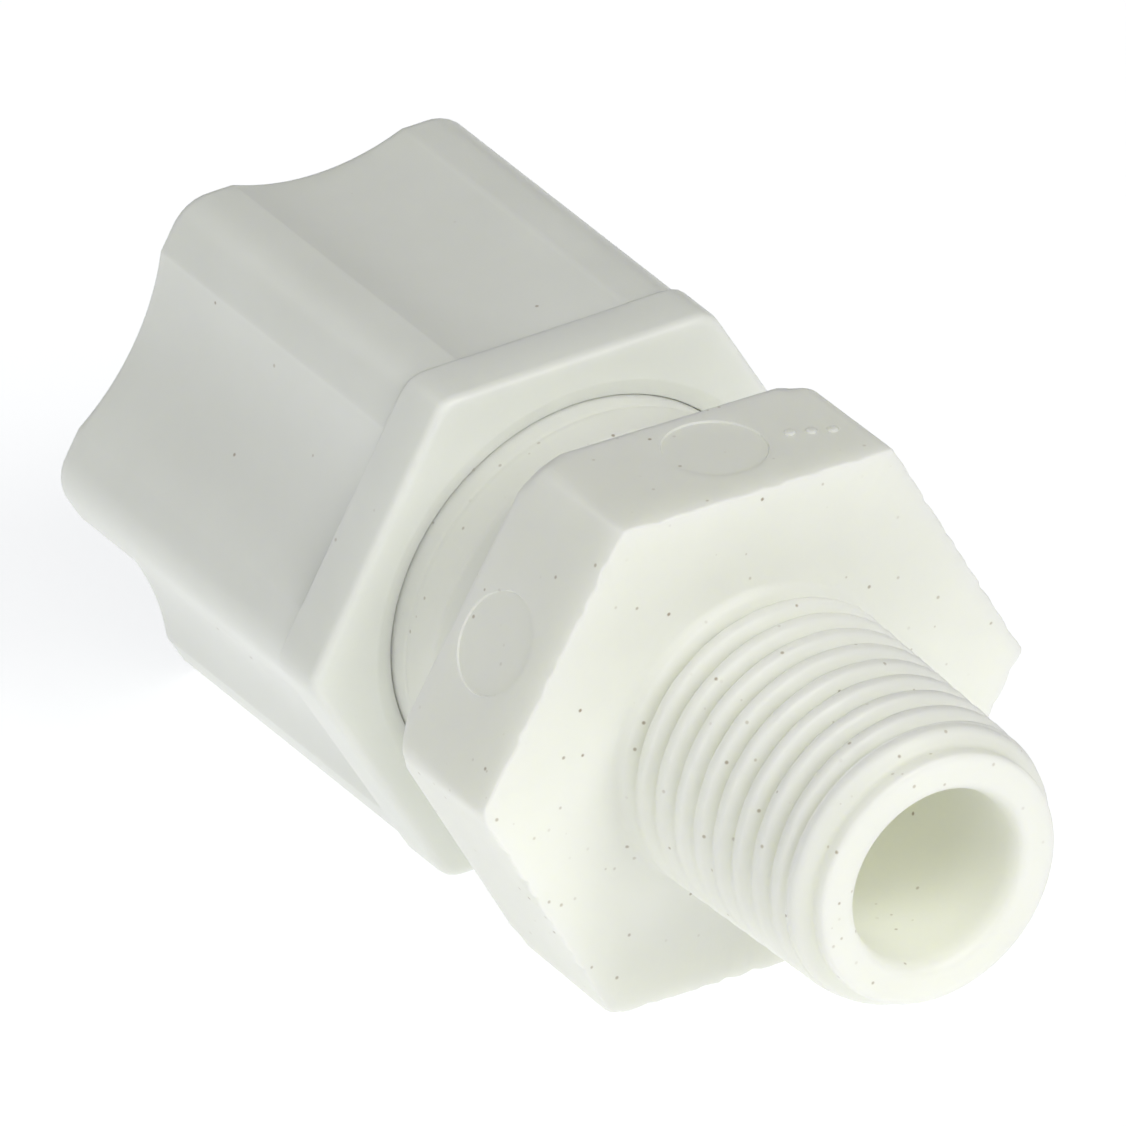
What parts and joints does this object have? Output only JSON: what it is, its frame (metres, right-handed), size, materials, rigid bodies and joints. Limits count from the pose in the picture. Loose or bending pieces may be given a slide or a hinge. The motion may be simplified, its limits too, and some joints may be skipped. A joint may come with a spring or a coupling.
{
  "type": "compression tube fitting",
  "caption": "Male tube connector: hex body with tapered pipe thread and through bore, fluted compression nut that screws along the body and clamps a plastic tube.",
  "frame": {"origin": "on the fitting's axis, half way between the pilot's end face and the nut's end face", "axes": "+X along the axis towards the pipe thread, -X is where the tube goes in, +Z square to one pair of the body's hex flats"},
  "size_m": [0.0484, 0.027, 0.0238],
  "materials": {
    "body_plastic": "moulded natural polypropylene, warm off-white, slightly translucent, soft satin",
    "nut_plastic": "moulded natural polypropylene, off-white, slightly translucent, soft satin",
    "gripper_plastic": "moulded hard white acetal, smooth",
    "sleeve_plastic": "moulded natural polypropylene, satin",
    "seal_rubber": "black rubber, matt"
  },
  "bodies": {
    "fitting_body": {"body": "body_plastic", "o_ring": "seal_rubber"},
    "clamp_rings": {"gripper_ring": "gripper_plastic", "ferrule_sleeve": "sleeve_plastic"},
    "nut": {"compression_nut": "nut_plastic"}
  },
  "joints": [
    {"name": "nut_advance", "type": "slide", "parent": "fitting_body", "child": "clamp_rings", "axis": [1, 0, 0], "range_m": [-0.00545, 0.00273]},
    {"name": "nut_turn", "type": "hinge", "parent": "clamp_rings", "child": "nut", "pos_m": [-0.0138, 0, 0], "axis": [1, 0, 0], "range_deg": [-1080, 540]}
  ],
  "couplings": [
    {"joint": "nut_advance", "follows": "nut_turn", "m_per_rad": 0.00028875}
  ]
}
